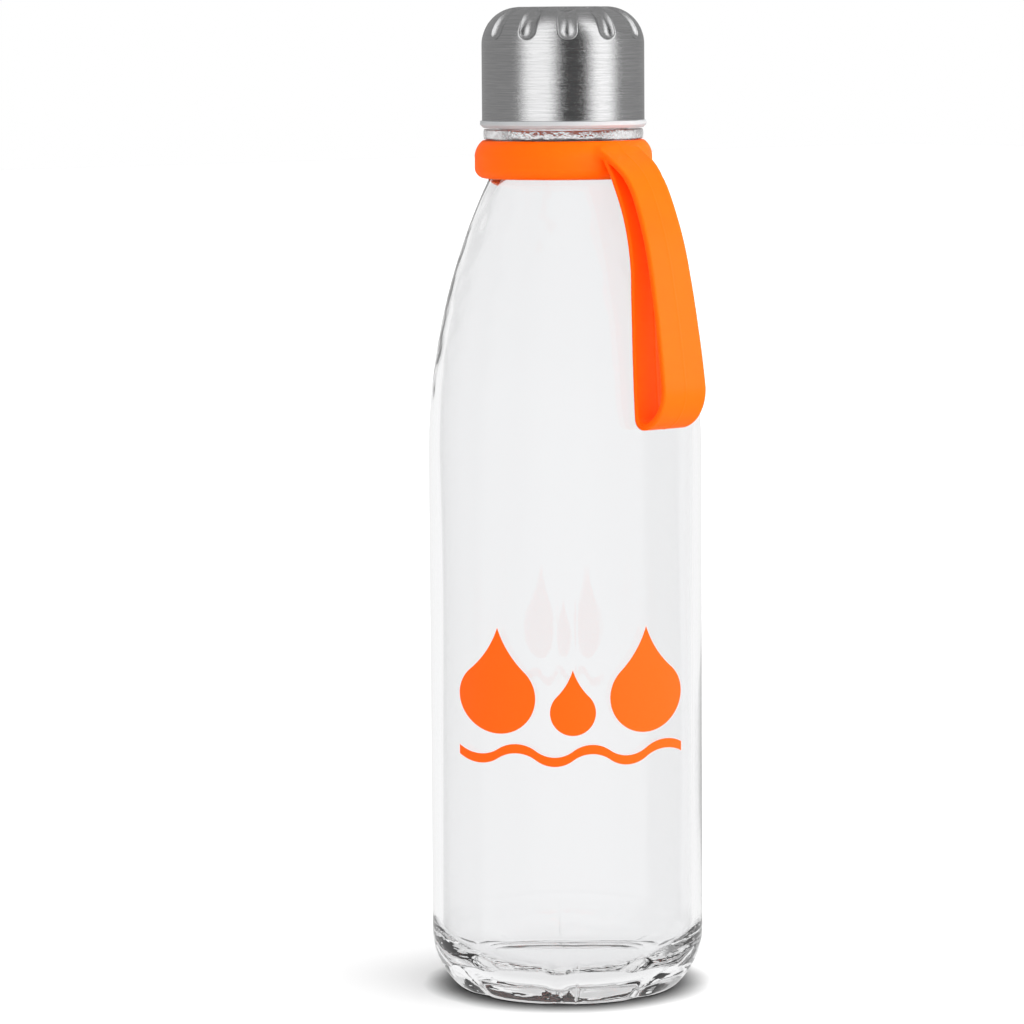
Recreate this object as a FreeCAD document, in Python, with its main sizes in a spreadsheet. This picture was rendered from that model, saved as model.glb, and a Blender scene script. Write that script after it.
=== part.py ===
import FreeCAD, Part
import math
import os
import Sketcher

# Glass water bottle with a brushed steel screw cap and a soft carry strap.
# The frame stands on the middle of the base: +Z runs up the bottle's axis and +X
# points at the carry loop. All sizes are in millimetres.

DIMENSIONS = {
    # glass body, from the base up
    "body_radius": 35.75,
    "glass_wall": 2.6,
    "punt_height": 2.2,
    "bearing_inner": 22.0,
    "heel_corner": 4.0,
    "heel_radius": 19.4,
    "heel_top": 15.0,
    "shoulder_start": 140.0,
    "shoulder_radius": 171.0,
    "neck_radius": 18.6,
    "bead_bottom": 222.9,
    "bead_top": 225.6,
    "bead_flat": 20.65,
    "bead_round": 6.0,
    "finish_radius": 16.6,
    "mouth_height": 243.4,
    "mouth_radius": 14.2,
    "lip_outer": 1.2,
    "lip_inner": 1.0,
    "floor_height": 6.0,
    "floor_corner": 12.0,
    # eight hollows that cut the heel into petals
    "hollow_count": 8,
    "hollow_radius": 8.8,
    "hollow_foot": 27.5,
    "hollow_tip_out": 34.9,
    "hollow_tip_up": 7.6,
    "hollow_overrun": 8.0,
    # screw thread, two starts, on the neck and inside the cap
    "thread_starts": 2,
    "thread_lead": 8.0,
    "neck_thread_height": 1.3,
    "neck_thread_root": 1.2,
    "neck_thread_crest": 0.6,
    "neck_thread_start": 229.6,
    "neck_thread_rise": 9.2,
    "cap_thread_height": 1.25,
    "cap_thread_root": 1.0,
    "cap_thread_crest": 0.5,
    "cap_thread_start": 227.6,
    "cap_thread_rise": 8.0,
    "thread_bite": 0.4,
    # cap: pressed steel shell, plastic liner and silicone seal
    "cap_radius": 21.1,
    "cap_wall": 0.7,
    "cap_bottom": 227.7,
    "cap_top": 257.0,
    "cap_dome": 9.6,
    "dome_wall": 1.8,
    "dome_step": 1.2,
    "flute_count": 12,
    "flute_angle": -6.4,
    "flute_round": 3.2,
    "flute_depth": 1.25,
    "flute_low": 20.5,
    "flute_high": 84.0,
    "liner_bore": 18.25,
    "liner_top": 247.0,
    "liner_bevel": 1.0,
    "flange_radius": 21.6,
    "flange_bottom": 225.9,
    "flange_bevel": 0.8,
    "seal_gap": 0.05,
    "seal_thickness": 1.5,
    "seal_inner": 12.0,
    "seal_outer": 18.0,
    # silicone neck ring
    "ring_bore": 18.75,
    "ring_bottom": 212.8,
    "ring_top": 222.7,
    "ring_radius": 23.1,
    "ring_top_radius": 20.9,
    "ring_foot_radius": 20.5,
    "ring_side_low": 215.4,
    "ring_side_high": 218.6,
    "ring_top_round": 5.5,
    "ring_foot_round": 2.8,
    "ring_lip": 20.15,
    "ring_lip_height": 3.0,
    # silicone carry loop: a flat band folded back on itself, hinged at its root
    "band_thickness": 1.8,
    "band_width": 14.2,
    "band_root_width": 12.0,
    "band_taper_top": 209.6,
    "band_taper_bottom": 160.0,
    "root_out": 25.7,
    "root_up": 216.7,
    "root_radius": 2.3,
    "fold_out": 38.8,
    "fold_up": 152.81,
    "fold_radius": 2.3,
    "fold_sweep": 9.8,
    "fold_tilt": 13.5,
    "outer_lean": 7.7,
    "inner_lean": 4.2,
    # printed motif on the front of the glass
    "print_angle": -37.3,
    "print_bottom": 65.3,
    "print_width": 57.3,
    "print_height": 33.8,
    "drop_width": 19.0,
    "drop_height": 27.4,
    "drop_spacing": 19.1,
    "small_drop_share": 0.62,
    "wave_count": 6,
    "wave_radius": 7.9,
    "wave_thickness": 2.4,
    "print_lift": 0.02,
    "print_thickness": 0.12,
}

# Centre line of the band in the loop's own plane, as (out from the axis, up). The
# runs are arcs that meet tangentially.
OUTER_LEG = [(25.9, 217.9), (34.8, 208.7), (41.3, 190.9)]
INNER_LEG = [(34.4, 187.6), (28.6, 209.0), (25.9, 214.5)]

# A water drop's flanks are arcs whose radius is this share of its height, which makes
# them run smoothly into its round foot.
FLANK_SHARE = 0.9835

document = FreeCAD.newDocument("water_bottle")
sheet = document.addObject("Spreadsheet::Sheet", "Dimensions")


class Size:
    """A length with the sheet formula that it comes from, so that sums keep both."""

    def __init__(self, value, formula):
        self.value = value
        self.formula = formula

    def __add__(self, other):
        return combine(self, "+", other, self.value + number(other))

    def __radd__(self, other):
        return combine(other, "+", self, number(other) + self.value)

    def __sub__(self, other):
        return combine(self, "-", other, self.value - number(other))

    def __rsub__(self, other):
        return combine(other, "-", self, number(other) - self.value)

    def __mul__(self, other):
        return combine(self, "*", other, self.value * number(other))

    def __rmul__(self, other):
        return combine(other, "*", self, number(other) * self.value)

    def __truediv__(self, other):
        return combine(self, "/", other, self.value / number(other))

    def __neg__(self):
        return Size(-self.value, f"(-1 * {self.formula})")


def number(item):
    return item.value if isinstance(item, Size) else float(item)


def formula(item):
    return item.formula if isinstance(item, Size) else f"{float(item):.6f}"


def combine(left, sign, right, value):
    return Size(value, f"({formula(left)} {sign} {formula(right)})")


def root(item):
    return Size(math.sqrt(item.value), f"sqrt({item.formula})")


def fill_sheet():
    for row, (name, value) in enumerate(DIMENSIONS.items(), start=1):
        sheet.set(f"A{row}", name)
        sheet.set(f"B{row}", str(value))
        sheet.setAlias(f"B{row}", name)
    document.recompute()


def size(name):
    return Size(float(sheet.get(name)), f"Dimensions.{name}")


def origin_plane(body, role):
    for feature in body.Origin.OriginFeatures:
        if feature.Role == role:
            return feature
    raise ValueError(role)


def new_body(label):
    body = document.addObject("PartDesign::Body", label)
    body.Label = label
    return body


def new_sketch(body, name, role="XZ_Plane"):
    sketch = body.newObject("Sketcher::SketchObject", name)
    sketch.AttachmentSupport = [(origin_plane(body, role), "")]
    sketch.MapMode = "FlatFace"
    return sketch


def bind(sketch, kind, references, item):
    """Add a constraint whose value follows its formula in the sheet."""
    index = sketch.addConstraint(Sketcher.Constraint(kind, *references, number(item)))
    if isinstance(item, Size):
        sketch.setExpression(f"Constraints[{index}]", item.formula)


def pin_point(sketch, geometry, position, across, along):
    """Fix one end of a line or arc at its place from the sketch's origin."""
    for kind, level, item in (("DistanceX", "Vertical", across), ("DistanceY", "Horizontal", along)):
        if number(item) == 0.0:
            sketch.addConstraint(Sketcher.Constraint(level, -1, 1, geometry, position))
        else:
            bind(sketch, kind, (-1, 1, geometry, position), item)


def arc_between(first, last, radius):
    """A circular arc, under half a turn, that bulges left of its run if radius > 0."""
    a = FreeCAD.Vector(number(first[0]), number(first[1]), 0)
    b = FreeCAD.Vector(number(last[0]), number(last[1]), 0)
    run = b - a
    side = FreeCAD.Vector(-run.y, run.x, 0).normalize()
    turn = math.copysign(1, number(radius))
    reach = abs(number(radius))
    back = math.sqrt(max(reach**2 - (run.Length / 2) ** 2, 0.0))
    centre = (a + b) * 0.5 - side * (turn * back)
    angles = [math.atan2(p.y - centre.y, p.x - centre.x) for p in (a, b)]
    if turn > 0:
        angles.reverse()
    circle = Part.Circle(centre, FreeCAD.Vector(0, 0, 1), reach)
    return Part.ArcOfCircle(circle, *angles), turn < 0


def draw(sketch, points):
    """Close an outline with straight runs, or arcs where a point states its radius."""
    ends = []
    for first, last in zip(points, points[1:] + points[:1]):
        radius = last[2] if len(last) == 3 else None
        if radius is None:
            a = FreeCAD.Vector(number(first[0]), number(first[1]), 0)
            b = FreeCAD.Vector(number(last[0]), number(last[1]), 0)
            geometry = sketch.addGeometry(Part.LineSegment(a, b), False)
            ends.append((geometry, 1, 2))
        else:
            arc, forward = arc_between(first, last, radius)
            geometry = sketch.addGeometry(arc, False)
            ends.append((geometry, 1, 2) if forward else (geometry, 2, 1))
            reach = radius if number(radius) > 0 else -radius
            bind(sketch, "Radius", (geometry,), reach)
    for (geometry, start, stop), first in zip(ends, points):
        pin_point(sketch, geometry, start, first[0], first[1])
    for (one, _, stop), (other, start, _) in zip(ends, ends[1:] + ends[:1]):
        sketch.addConstraint(Sketcher.Constraint("Coincident", one, stop, other, start))


def turned(body, name, points, kind="PartDesign::Revolution"):
    """Turn an outline in the XZ plane once around the body's Z axis."""
    sketch = new_sketch(body, f"{name}_section")
    draw(sketch, points)
    feature = body.newObject(kind, name)
    feature.Profile = sketch
    feature.ReferenceAxis = (sketch, ["V_Axis"])
    feature.Angle = 360
    document.recompute()
    return feature


def around(body, feature, name, count):
    """Repeat a feature evenly around the body's Z axis."""
    pattern = body.newObject("PartDesign::PolarPattern", name)
    pattern.Originals = [feature]
    pattern.Axis = (origin_plane(body, "Z_Axis"), [""])
    pattern.Angle = 360
    pattern.Occurrences = int(number(count))
    pattern.setExpression("Occurrences", count.formula)
    body.Tip = pattern
    document.recompute()
    return pattern


def thread(body, name, at_root, inward, prefix):
    """A trapezoid ridge that climbs the wall at radius at_root, one for each start."""
    height = size(f"{prefix}_thread_height")
    broad = size(f"{prefix}_thread_root")
    narrow = size(f"{prefix}_thread_crest")
    level = size(f"{prefix}_thread_start")
    bite = size("thread_bite")
    foot = at_root + bite if inward else at_root - bite
    crest = at_root - height if inward else at_root + height
    sketch = new_sketch(body, f"{name}_profile")
    draw(sketch, [
        (foot, level - broad),
        (at_root, level - broad),
        (crest, level - narrow),
        (crest, level + narrow),
        (at_root, level + broad),
        (foot, level + broad),
    ])
    ridge = body.newObject("PartDesign::AdditiveHelix", name)
    ridge.Profile = sketch
    ridge.ReferenceAxis = (sketch, ["V_Axis"])
    ridge.Mode = 0
    ridge.setExpression("Pitch", size("thread_lead").formula)
    ridge.setExpression("Height", size(f"{prefix}_thread_rise").formula)
    document.recompute()
    around(body, ridge, f"{name}_starts", size("thread_starts"))


def build_glass_bottle():
    body = new_body("glass_bottle")
    radius = size("body_radius")
    wall = size("glass_wall")
    heel = size("heel_radius")
    corner = size("heel_corner")
    heel_top = size("heel_top")
    punt = size("punt_height")
    bearing = size("bearing_inner")
    bead = size("bead_flat")
    finish = size("finish_radius")
    mouth = size("mouth_radius")
    top = size("mouth_height")
    floor = size("floor_height")
    bend = size("floor_corner")
    shoulder = size("shoulder_radius")
    start = size("shoulder_start")

    # the heel's arc and the small corner below it share a tangent at `meet`
    heel_centre = radius - heel
    across = heel - corner
    drop = heel_top - corner
    reach = root(across * across - drop * drop)
    foot_edge = heel_centre + reach
    meet = (heel_centre + reach * heel / across, heel_top - drop * heel / across)

    # both shoulder arcs have their centre level with the top of the straight wall
    inner_shoulder = shoulder - wall
    shoulder_centre = radius - shoulder
    neck = size("neck_radius")
    neck_out = neck - shoulder_centre
    neck_start = start + root(shoulder * shoulder - neck_out * neck_out)
    mouth_out = mouth - shoulder_centre
    bore_start = start + root(inner_shoulder * inner_shoulder - mouth_out * mouth_out)
    dome = (bearing * bearing + punt * punt) / (2 * punt)

    turned(body, "glass_wall_section", [
        (0.0, punt),
        (bearing, 0.0, dome),
        (foot_edge, 0.0),
        (meet[0], meet[1], -corner),
        (radius, heel_top, -heel),
        (radius, start),
        (neck, neck_start, -shoulder),
        (neck, size("bead_bottom")),
        (bead, size("bead_bottom")),
        (bead, size("bead_top"), -size("bead_round")),
        (finish, size("bead_top")),
        (finish, top - size("lip_outer")),
        (finish - size("lip_outer"), top, -size("lip_outer")),
        (mouth + size("lip_inner"), top),
        (mouth, top - size("lip_inner"), -size("lip_inner")),
        (mouth, bore_start),
        (radius - wall, start, inner_shoulder),
        (radius - wall, floor + bend),
        (radius - wall - bend, floor, bend),
        (0.0, floor),
    ])
    cut_heel_hollows(body)
    thread(body, "neck_thread", finish, False, "neck")
    return body


def cut_heel_hollows(body):
    """Cut sloping round hollows into the heel, each one a tilted cylinder."""
    foot = size("hollow_foot")
    run = size("hollow_tip_out") - foot
    rise = size("hollow_tip_up")
    length = root(run * run + rise * rise)
    over = size("hollow_overrun")
    depth = size("hollow_radius")
    ahead = (run * over / length, rise * over / length)
    aside = (rise * depth / length, run * depth / length)
    low = (foot - ahead[0], -ahead[1])
    high = (foot + run + ahead[0], rise + ahead[1])
    sketch = new_sketch(body, "heel_hollow_section")
    draw(sketch, [
        low,
        high,
        (high[0] + aside[0], high[1] - aside[1]),
        (low[0] + aside[0], low[1] - aside[1]),
    ])
    axis = Part.LineSegment(
        FreeCAD.Vector(number(high[0] + aside[0]), number(high[1] - aside[1]), 0),
        FreeCAD.Vector(number(low[0] + aside[0]), number(low[1] - aside[1]), 0),
    )
    line = sketch.addGeometry(axis, True)
    sketch.addConstraint(Sketcher.Constraint("Coincident", line, 1, 2, 1))
    sketch.addConstraint(Sketcher.Constraint("Coincident", line, 2, 2, 2))
    before = body.Shape.Volume
    hollow = body.newObject("PartDesign::Groove", "heel_hollow")
    hollow.Profile = sketch
    hollow.ReferenceAxis = (sketch, ["Axis0"])
    hollow.Angle = 360
    document.recompute()
    one = before - body.Shape.Volume
    count = size("hollow_count")
    around(body, hollow, "heel_hollows", count)
    if before - body.Shape.Volume < one * (number(count) - 1):
        raise ValueError("some of the heel's hollows cut nothing")


def build_cap_shell():
    """Thin pressed shell; the dome is thicker, so that the flutes leave a full wall."""
    cup = new_body("shell_cup")
    radius = size("cap_radius")
    bottom = size("cap_bottom")
    top = size("cap_top")
    dome = size("cap_dome")
    inner = radius - size("cap_wall")
    dome_wall = size("dome_wall")
    turned(cup, "shell_round", [
        (inner, bottom),
        (radius, bottom),
        (radius, top - dome),
        (radius - dome, top, -dome),
        (0.0, top),
        (0.0, top - dome_wall),
        (radius - dome, top - dome_wall),
        (radius - dome_wall, top - dome, dome - dome_wall),
        (inner, top - dome - size("dome_step")),
    ])
    shell = document.addObject("Part::Feature", "cap_shell")
    shell.Label = "cap_shell"
    shell.Shape = cut_flutes(cup.Shape)
    turn = FreeCAD.Rotation(FreeCAD.Vector(0, 0, 1), number(size("flute_angle")))
    shell.Placement = FreeCAD.Placement(FreeCAD.Vector(0, 0, 0), turn)
    return shell


def flute_cutter():
    """A round bar with ball ends, bent round the centre of the dome's section."""
    rounding = number(size("flute_round"))
    dome = number(size("cap_dome"))
    bend = dome + rounding - number(size("flute_depth"))
    low = number(size("flute_low"))
    high = number(size("flute_high"))
    out = number(size("cap_radius")) - dome
    centre = FreeCAD.Vector(out, 0, number(size("cap_top")) - dome)
    ends = []
    for angle in (math.radians(low), math.radians(high)):
        ends.append(centre + FreeCAD.Vector(math.cos(angle), 0, math.sin(angle)) * bend)
    across = FreeCAD.Vector(0, 1, 0)
    ahead = across.cross(centre - ends[0])
    circle = Part.Circle(ends[0], ahead, rounding).toShape()
    bar = Part.Face(Part.Wire(circle)).revolve(centre, -across, high - low)
    return bar.fuse([Part.makeSphere(rounding, end) for end in ends])


def cut_flutes(shape):
    """Cut the flutes one by one; each has a round lower end and runs over the dome's edge."""
    cutter = flute_cutter()
    count = int(number(size("flute_count")))
    for index in range(count):
        tool = cutter.copy()
        tool.rotate(FreeCAD.Vector(0, 0, 0), FreeCAD.Vector(0, 0, 1), 360 / count * index)
        before = shape.Volume
        shape = shape.cut(tool)
        if shape.Volume >= before:
            raise ValueError("a flute cut nothing")
    return shape


def build_cap_liner():
    body = new_body("cap_liner")
    outer = size("cap_radius") - size("cap_wall")
    bore = size("liner_bore")
    bottom = size("flange_bottom")
    shelf = size("cap_bottom")
    flange = size("flange_radius")
    bevel = size("flange_bevel")
    ceiling = size("mouth_height") + size("seal_gap") + size("seal_thickness")
    top = size("liner_top")
    turned(body, "liner_cup", [
        (bore, bottom),
        (flange - bevel, bottom),
        (flange, bottom + bevel),
        (flange, shelf),
        (outer, shelf),
        (outer, top - size("liner_bevel")),
        (outer - size("liner_bevel"), top),
        (0.0, top),
        (0.0, ceiling),
        (bore, ceiling),
    ])
    thread(body, "cap_thread", bore, True, "cap")
    return body


def build_cap_seal():
    body = new_body("cap_seal")
    bottom = size("mouth_height") + size("seal_gap")
    top = bottom + size("seal_thickness")
    turned(body, "seal_washer", [
        (size("seal_inner"), bottom),
        (size("seal_outer"), bottom),
        (size("seal_outer"), top),
        (size("seal_inner"), top),
    ])
    return body


def build_neck_ring():
    body = new_body("neck_ring")
    bore = size("ring_bore")
    bottom = size("ring_bottom")
    turned(body, "ring_barrel", [
        (size("ring_lip"), bottom),
        (size("ring_foot_radius"), bottom),
        (size("ring_radius"), size("ring_side_low"), -size("ring_foot_round")),
        (size("ring_radius"), size("ring_side_high")),
        (size("ring_top_radius"), size("ring_top"), -size("ring_top_round")),
        (bore, size("ring_top")),
        (bore, bottom + size("ring_lip_height")),
    ])
    return body


def tangent_arc(first, last, heading):
    """The arc from first to last that sets off along heading, and its last heading."""
    chord = last - first
    side = FreeCAD.Vector(-heading.y, heading.x, 0)
    radius = chord.Length**2 / (2 * chord.dot(side))
    ahead = chord * (2 * heading.dot(chord) / chord.Length**2) - heading
    return -radius, ahead.normalize()


def leg_arcs(points, heading):
    """Radii of the arcs through a leg's points, starting from the fold."""
    radii = []
    for first, last in zip(points, points[1:]):
        radius, heading = tangent_arc(first, last, heading)
        radii.append(radius)
    return radii


def draw_band_path(path):
    """Arcs through the legs' points, tangent to each other and to the fold.

    The fold is tight below the inner leg and sweeps up to the outer leg in a wide arc.
    """
    fold = number(size("fold_radius"))
    sweep = number(size("fold_sweep"))
    centre = FreeCAD.Vector(number(size("fold_out")), number(size("fold_up")), 0)
    tilt = math.radians(number(size("fold_tilt")))
    down = FreeCAD.Vector(math.sin(tilt), -math.cos(tilt), 0)
    bottom = centre + down * fold
    lean = math.radians(number(size("outer_lean")))
    up_outer = FreeCAD.Vector(-math.sin(lean), math.cos(lean), 0)
    start = bottom - down * sweep + FreeCAD.Vector(up_outer.y, -up_outer.x, 0) * sweep
    lean = math.radians(number(size("inner_lean")))
    up_inner = FreeCAD.Vector(-math.sin(lean), math.cos(lean), 0)
    stop = centre - FreeCAD.Vector(up_inner.y, -up_inner.x, 0) * fold

    outer = [FreeCAD.Vector(x, z, 0) for x, z in OUTER_LEG] + [start]
    inner = [stop] + [FreeCAD.Vector(x, z, 0) for x, z in INNER_LEG]
    outer_radii = leg_arcs(outer[::-1], up_outer)
    points = outer + [bottom] + inner
    radii = [-radius for radius in outer_radii[::-1]] + [sweep, fold] + leg_arcs(inner, up_inner)
    arcs = []
    for first, last, radius in zip(points, points[1:], radii):
        arc, forward = arc_between((first.x, first.y), (last.x, last.y), radius)
        geometry = path.addGeometry(arc, False)
        arcs.append((geometry, 1, 2) if forward else (geometry, 2, 1))
    for (geometry, begin, _), point in zip(arcs, points):
        pin_point(path, geometry, begin, point.x, point.y)
    pin_point(path, arcs[-1][0], arcs[-1][2], points[-1].x, points[-1].y)
    for (one, _, end), (other, begin, _) in zip(arcs, arcs[1:]):
        path.addConstraint(Sketcher.Constraint("Tangent", one, end, other, begin))
    bind(path, "Radius", (arcs[len(OUTER_LEG)][0],), size("fold_sweep"))


def build_carry_loop():
    """The band along its centre line, narrowed towards the root, with a round root."""
    body = new_body("carry_loop")
    path = new_sketch(body, "band_path")
    draw_band_path(path)
    section = body.newObject("Sketcher::SketchObject", "band_section")
    section.AttachmentSupport = [(path, "Edge1")]
    section.MapMode = "NormalToEdge"
    document.recompute()
    thick = size("band_thickness") / 2
    wide = size("band_width") / 2
    draw(section, [(-wide, -thick), (wide, -thick), (wide, thick), (-wide, thick)])
    band = body.newObject("PartDesign::AdditivePipe", "band")
    band.Profile = section
    band.Spine = (path, [])
    document.recompute()
    narrow_band(body)
    round_root(body)
    return body


def narrow_band(body):
    """Trim both edges, so that the band is narrow at its root and wide at the fold."""
    root_side = size("band_root_width") / 2
    side = size("band_width") / 2
    past = size("band_width")
    crown = size("ring_top")
    high = size("band_taper_top")
    low = size("band_taper_bottom")
    before = body.Shape.Volume
    trim = new_sketch(body, "band_trim", "YZ_Plane")
    for edge in (1, -1):
        draw(trim, [
            (root_side * edge, crown),
            (root_side * edge, high),
            (side * edge, low),
            (past * edge, low),
            (past * edge, crown),
        ])
    pocket = body.newObject("PartDesign::Pocket", "band_taper")
    pocket.Profile = trim
    pocket.Type = "ThroughAll"
    pocket.Reversed = True
    document.recompute()
    if body.Shape.Volume >= before:
        raise ValueError("the band's taper cuts nothing")


def round_root(body):
    sketch = new_sketch(body, "root_section")
    middle = FreeCAD.Vector(number(size("root_out")), number(size("root_up")), 0)
    reach = number(size("root_radius"))
    circle = Part.Circle(middle, FreeCAD.Vector(0, 0, 1), reach)
    geometry = sketch.addGeometry(circle, False)
    bind(sketch, "Radius", (geometry,), size("root_radius"))
    pin_point(sketch, geometry, 3, size("root_out"), size("root_up"))
    pad = body.newObject("PartDesign::Pad", "root")
    pad.Profile = sketch
    pad.Midplane = True
    pad.setExpression("Length", size("band_root_width").formula)
    document.recompute()


def draw_drop(sketch, across, base, width, height):
    """A water drop: a round foot and two flanks that meet in a point."""
    half = width / 2
    cheek = half * math.sqrt(0.5)
    shoulder = base + half + cheek
    flank = height * FLANK_SHARE
    draw(sketch, [
        (across, base, -half),
        (across + cheek, shoulder, -half),
        (across, base + height, flank),
        (across - cheek, shoulder, flank),
    ])


def draw_wave(sketch, base, width, thick):
    """A ribbon of half waves that swing up and down in turn."""
    count = int(number(size("wave_count")))
    step = width / size("wave_count")
    bend = size("wave_radius")
    points = [(width / -2, base)]
    for index in range(count):
        swing = 1 if index % 2 else -1
        points.append((step * (index + 1) - width / 2, base, bend * swing))
    points.append((width / 2, base + thick))
    for index in range(count):
        swing = 1 if (count - index) % 2 else -1
        points.append((width / 2 - step * (index + 1), base + thick, bend * swing))
    draw(sketch, points)


def build_front_print():
    """The ink lies on the glass as a thin skin, cut out by the motif's outlines."""
    stamp = new_body("motif")
    sketch = new_sketch(stamp, "motif_outline")
    low = size("print_bottom")
    width = size("print_width")
    foot = low + size("print_height") - size("drop_height")
    drop = (size("drop_width"), size("drop_height"))
    share = size("small_drop_share")
    draw_drop(sketch, size("drop_spacing"), foot, *drop)
    draw_drop(sketch, -size("drop_spacing"), foot, *drop)
    draw_drop(sketch, 0.0, foot, drop[0] * share, drop[1] * share)
    draw_wave(sketch, low, width, size("wave_thickness"))
    pad = stamp.newObject("PartDesign::Pad", "motif_pad")
    pad.Profile = sketch
    pad.setExpression("Length", width.formula)
    document.recompute()
    skin = document.addObject("Part::Cut", "print_skin")
    under = size("print_lift")
    for name, gap in (("Base", under + size("print_thickness")), ("Tool", under)):
        tube = document.addObject("Part::Cylinder", f"skin_{name}")
        tube.setExpression("Radius", (size("body_radius") + gap).formula)
        tube.setExpression("Height", size("shoulder_start").formula)
        setattr(skin, name, tube)
    ink = document.addObject("Part::Common", "front_print")
    ink.Label = "front_print"
    ink.Base = skin
    ink.Tool = stamp
    turn = number(size("print_angle")) + 90
    ink.Placement = FreeCAD.Placement(
        FreeCAD.Vector(0, 0, 0), FreeCAD.Rotation(FreeCAD.Vector(0, 0, 1), turn)
    )
    document.recompute()
    return ink


def check_document():
    for item in document.Objects:
        if {"Invalid", "Error"} & set(item.State):
            raise ValueError(f"{item.Label} failed: {item.State}")


def write_parts(parts):
    check_document()
    for part in parts:
        if part.Shape.isNull() or not part.Shape.isValid():
            raise ValueError(f"{part.Label} has no valid shape")
    for part in parts:
        part.Shape.exportStep(f"parts/{part.Label}.step")
        print(part.Label, len(part.Shape.Solids), round(part.Shape.Volume, 1))


def main():
    os.makedirs("parts", exist_ok=True)
    fill_sheet()
    parts = [
        build_glass_bottle(),
        build_cap_shell(),
        build_cap_liner(),
        build_cap_seal(),
        build_neck_ring(),
        build_carry_loop(),
        build_front_print(),
    ]
    write_parts(parts)


main()
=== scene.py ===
import math

import bpy
import numpy as np
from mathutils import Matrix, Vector


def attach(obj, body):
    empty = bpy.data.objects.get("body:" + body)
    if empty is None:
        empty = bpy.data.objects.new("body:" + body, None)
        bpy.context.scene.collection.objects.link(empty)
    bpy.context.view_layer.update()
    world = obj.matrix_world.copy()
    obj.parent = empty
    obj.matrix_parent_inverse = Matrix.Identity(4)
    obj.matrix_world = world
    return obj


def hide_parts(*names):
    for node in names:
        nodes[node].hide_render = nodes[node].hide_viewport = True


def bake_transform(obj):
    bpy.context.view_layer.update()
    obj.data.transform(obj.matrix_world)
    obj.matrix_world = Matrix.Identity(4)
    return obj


# Glass water bottle with a brushed steel screw cap and an orange silicone ring and loop.
# Shapes are worked out in millimetres in the CAD frame and written in metres.

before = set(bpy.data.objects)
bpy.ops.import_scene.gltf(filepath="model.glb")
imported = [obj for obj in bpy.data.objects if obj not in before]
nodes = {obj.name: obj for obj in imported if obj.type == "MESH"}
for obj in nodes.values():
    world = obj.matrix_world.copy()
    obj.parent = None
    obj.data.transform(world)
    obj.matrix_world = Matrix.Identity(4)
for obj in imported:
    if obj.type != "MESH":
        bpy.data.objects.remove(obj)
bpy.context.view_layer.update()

MM = 0.001
TURN = 2 * math.pi


# ---------------------------------------------------------------- outlines and meshes


def outline(points, step=0.1):
    """Dense points along straight runs and arcs.

    A point's third value is the radius of the arc that leads to it, which bulges left
    of its run if the radius is positive.
    """
    path = [np.array(points[0][:2], float)]
    for first, last in zip(points, points[1:]):
        a, b = np.array(first[:2], float), np.array(last[:2], float)
        run = b - a
        chord = np.hypot(*run)
        if len(last) == 2:
            count = max(1, math.ceil(chord / step))
            path += [a + run * i / count for i in range(1, count + 1)]
            continue
        radius = last[2]
        side = np.array([-run[1], run[0]]) / chord
        back = math.sqrt(max(radius**2 - (chord / 2) ** 2, 0.0))
        centre = (a + b) / 2 - side * math.copysign(back, radius)
        start = math.atan2(a[1] - centre[1], a[0] - centre[0])
        stop = math.atan2(b[1] - centre[1], b[0] - centre[0])
        sweep = (stop - start + math.pi) % TURN - math.pi
        count = max(2, math.ceil(abs(sweep * radius) / step))
        for i in range(1, count + 1):
            angle = start + sweep * i / count
            path.append(centre + abs(radius) * np.array([math.cos(angle), math.sin(angle)]))
    return np.array(path)


def resample(path, count):
    """The same line with points at equal distances."""
    steps = np.hypot(*np.diff(path, axis=0).T)
    run = np.concatenate([[0.0], np.cumsum(steps)])
    places = np.linspace(0, run[-1], count)
    return np.stack([np.interp(places, run, path[:, i]) for i in (0, 1)], axis=1)


def smooth_line(path, reach, spacing=0.1, mirror=True):
    """Rounds a line's corners with a Gaussian of that reach.

    Beyond its ends the line is mirrored in the axis, or runs on round a closed outline.
    """
    length = np.hypot(*np.diff(path, axis=0).T).sum()
    even = resample(path, max(8, int(length / spacing)))
    pad = int(reach * 4 / spacing) + 1
    if mirror:
        flip = np.array([-1.0, 1.0])
        head, tail = even[pad:0:-1] * flip, even[-2:-pad - 2:-1] * flip
    else:
        head, tail = even[-pad - 1:-1], even[1:pad + 1]
    long = np.concatenate([head, even, tail])
    offsets = np.arange(-pad, pad + 1) * spacing
    kernel = np.exp(-0.5 * (offsets / reach) ** 2)
    kernel /= kernel.sum()
    return np.stack([np.convolve(long[:, i], kernel, "same") for i in (0, 1)], axis=1)[pad:-pad]


def choose_rows(path, widest, turn_step=4.0, finest=0.12):
    """Thins a dense line: close rows where it bends, and at most widest(r, z) apart."""
    steps = np.diff(path, axis=0)
    lengths = np.hypot(*steps.T)
    heading = np.unwrap(np.arctan2(steps[:, 1], steps[:, 0]))
    bend = np.abs(np.gradient(heading)) / np.maximum(lengths, 1e-6)
    limit = np.radians(turn_step) / np.maximum(bend, 1e-6)
    middle = (path[1:] + path[:-1]) / 2
    gap = np.clip(np.minimum(limit, widest(middle[:, 0], middle[:, 1])), finest, None)
    level = np.concatenate([[0.0], np.cumsum(lengths / gap)])
    count = int(math.ceil(level[-1])) + 1
    places = np.linspace(0, level[-1], count)
    return np.stack([np.interp(places, level, path[:, i]) for i in (0, 1)], axis=1)


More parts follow.
